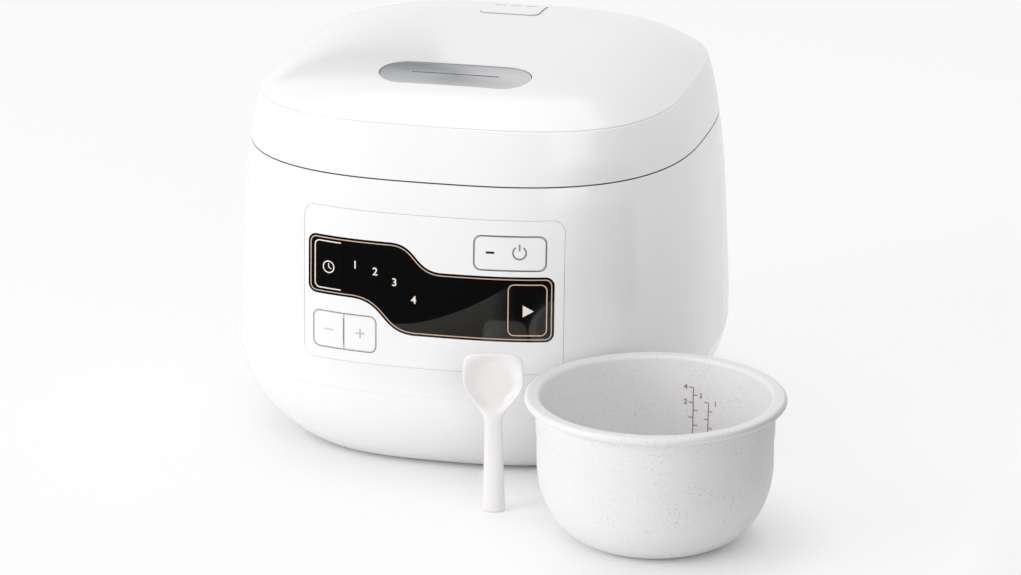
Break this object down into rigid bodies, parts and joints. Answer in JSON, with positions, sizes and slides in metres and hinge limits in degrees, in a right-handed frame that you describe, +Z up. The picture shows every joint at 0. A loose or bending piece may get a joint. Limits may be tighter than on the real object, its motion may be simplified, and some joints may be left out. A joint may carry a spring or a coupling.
{
  "type": "rice cooker",
  "caption": "Compact electronic rice cooker with hinged lid, release button, key panel, steam cap, heater and well; its inner pot and rice paddle stand beside it",
  "frame": {"origin": "middle of the cooker's footprint, on the table", "axes": "+Z up, front (control panel) towards -Y, the cooker's right as seen from its front towards +X"},
  "size_m": [0.3156, 0.3556, 0.2058],
  "materials": {
    "white_gloss": "high-gloss moulded white",
    "white_lid": "high-gloss moulded white",
    "white_satin": "satin moulded white",
    "fascia_white": "satin-gloss white with thin printed lines",
    "key_white": "satin-gloss white with a thin outline and a small symbol",
    "smoked_window": "glossy black, thin rose-gold line",
    "key_black": "glossy black with a rose-gold line and a small symbol",
    "brushed_silver": "brushed along its length",
    "steel": "zinc-plated",
    "aluminium": "drawn sheet",
    "cast_aluminium": "die-cast, turned top",
    "pot_coat": "stone-look coat with grey specks",
    "paddle_plastic": "translucent off-white",
    "silicone": "translucent white",
    "rubber_grey": "matte",
    "inlet_black": "satin black",
    "brass_pin": "plain",
    "ceramic": "unglazed",
    "board_green": "solder mask",
    "component_black": "moulded",
    "component_blue": "moulded",
    "lamp": "tinted",
    "copper_core": "laminated core"
  },
  "bodies": {
    "cooker": {"body_shell": "white_gloss", "base_shell": "white_gloss", "base_cover": "white_satin", "base_screws": "steel", "feet": "rubber_grey", "top_ring": "white_satin", "hinge_cover": "white_satin", "hinge_pin": "steel", "hinge_spring": "steel", "latch_catch": "steel", "well_liner": "aluminium", "heating_plate": "cast_aluminium", "heater_terminals": "steel", "plate_posts": "ceramic", "shield_posts": "ceramic", "heat_shield": "aluminium", "sensor_cup": "steel", "sensor_spring": "steel", "thermal_fuse": "component_black", "control_fascia": "fascia_white", "display_window": "smoked_window", "board_frame": "white_satin", "control_board": "board_green", "tact_switches": "component_black", "indicator_leds": "lamp", "digit_display": "component_black", "power_board": "board_green", "mains_transformer": "copper_core", "relay": "component_blue", "terminal_block": "component_blue", "filter_capacitors": "component_black", "power_inlet": "inlet_black", "inlet_pins": "brass_pin"},
    "lid": {"lid_band": "white_lid", "lid_cover": "white_lid", "lid_base": "white_satin", "inner_lid_plate": "aluminium", "inner_plate_screws": "steel", "lid_gasket": "silicone", "vent_duct": "silicone", "button_springs": "steel", "latch_spring": "steel"},
    "release_button": {"release_button": "brushed_silver"},
    "latch": {"latch_slider": "white_satin"},
    "steam_cap": {"steam_vent_cap": "white_lid"},
    "sensor": {"sensor_can": "aluminium"},
    "preset_button": {"preset_key": "key_black"},
    "function_button": {"function_key": "key_black"},
    "hour_button": {"hour_key": "key_white"},
    "minute_button": {"minute_key": "key_white"},
    "keep_warm_button": {"keep_warm_key": "key_white"},
    "pot": {"inner_pot": "pot_coat"},
    "paddle": {"rice_paddle": "paddle_plastic"}
  },
  "joints": [
    {"name": "lid_hinge", "type": "hinge", "parent": "cooker", "child": "lid", "pos_m": [0, 0.11, 0.168], "axis": [-1, 0, 0], "range_deg": [0, 85], "deforming": ["hinge_spring"]},
    {"name": "button_press", "type": "slide", "parent": "lid", "child": "release_button", "axis": [0, 0, -1], "range_m": [0, 0.003], "stiffness_N_per_m": 300, "deforming": ["button_springs"]},
    {"name": "latch_slide", "type": "slide", "parent": "lid", "child": "latch", "axis": [0, 1, 0], "range_m": [0, 0.003], "deforming": ["latch_spring"]},
    {"name": "steam_cap_lift", "type": "slide", "parent": "lid", "child": "steam_cap", "axis": [0, 0, 1], "range_m": [0, 0.03]},
    {"name": "sensor_press", "type": "slide", "parent": "cooker", "child": "sensor", "axis": [0, 0, -1], "range_m": [0, 0.004], "stiffness_N_per_m": 500, "deforming": ["sensor_spring"]},
    {"name": "preset_press", "type": "slide", "parent": "cooker", "child": "preset_button", "axis": [0, 1, 0], "range_m": [0, 0.0005], "stiffness_N_per_m": 2000},
    {"name": "function_press", "type": "slide", "parent": "cooker", "child": "function_button", "axis": [0, 1, 0], "range_m": [0, 0.0005], "stiffness_N_per_m": 2000},
    {"name": "hour_press", "type": "slide", "parent": "cooker", "child": "hour_button", "axis": [0, 1, 0], "range_m": [0, 0.0005], "stiffness_N_per_m": 2000},
    {"name": "minute_press", "type": "slide", "parent": "cooker", "child": "minute_button", "axis": [0, 1, 0], "range_m": [0, 0.0005], "stiffness_N_per_m": 2000},
    {"name": "keep_warm_press", "type": "slide", "parent": "cooker", "child": "keep_warm_button", "axis": [0, 1, 0], "range_m": [0, 0.0005], "stiffness_N_per_m": 2000},
    {"name": "pot_lift", "type": "slide", "parent": "cooker", "child": "pot", "axis": [0, 0, 1], "range_m": [0, 0.15]},
    {"name": "paddle_lift", "type": "slide", "parent": "cooker", "child": "paddle", "axis": [0, 0, 1], "range_m": [0, 0.15]}
  ],
  "couplings": [
    {"joint": "latch_slide", "follows": "button_press", "ratio": 1}
  ]
}
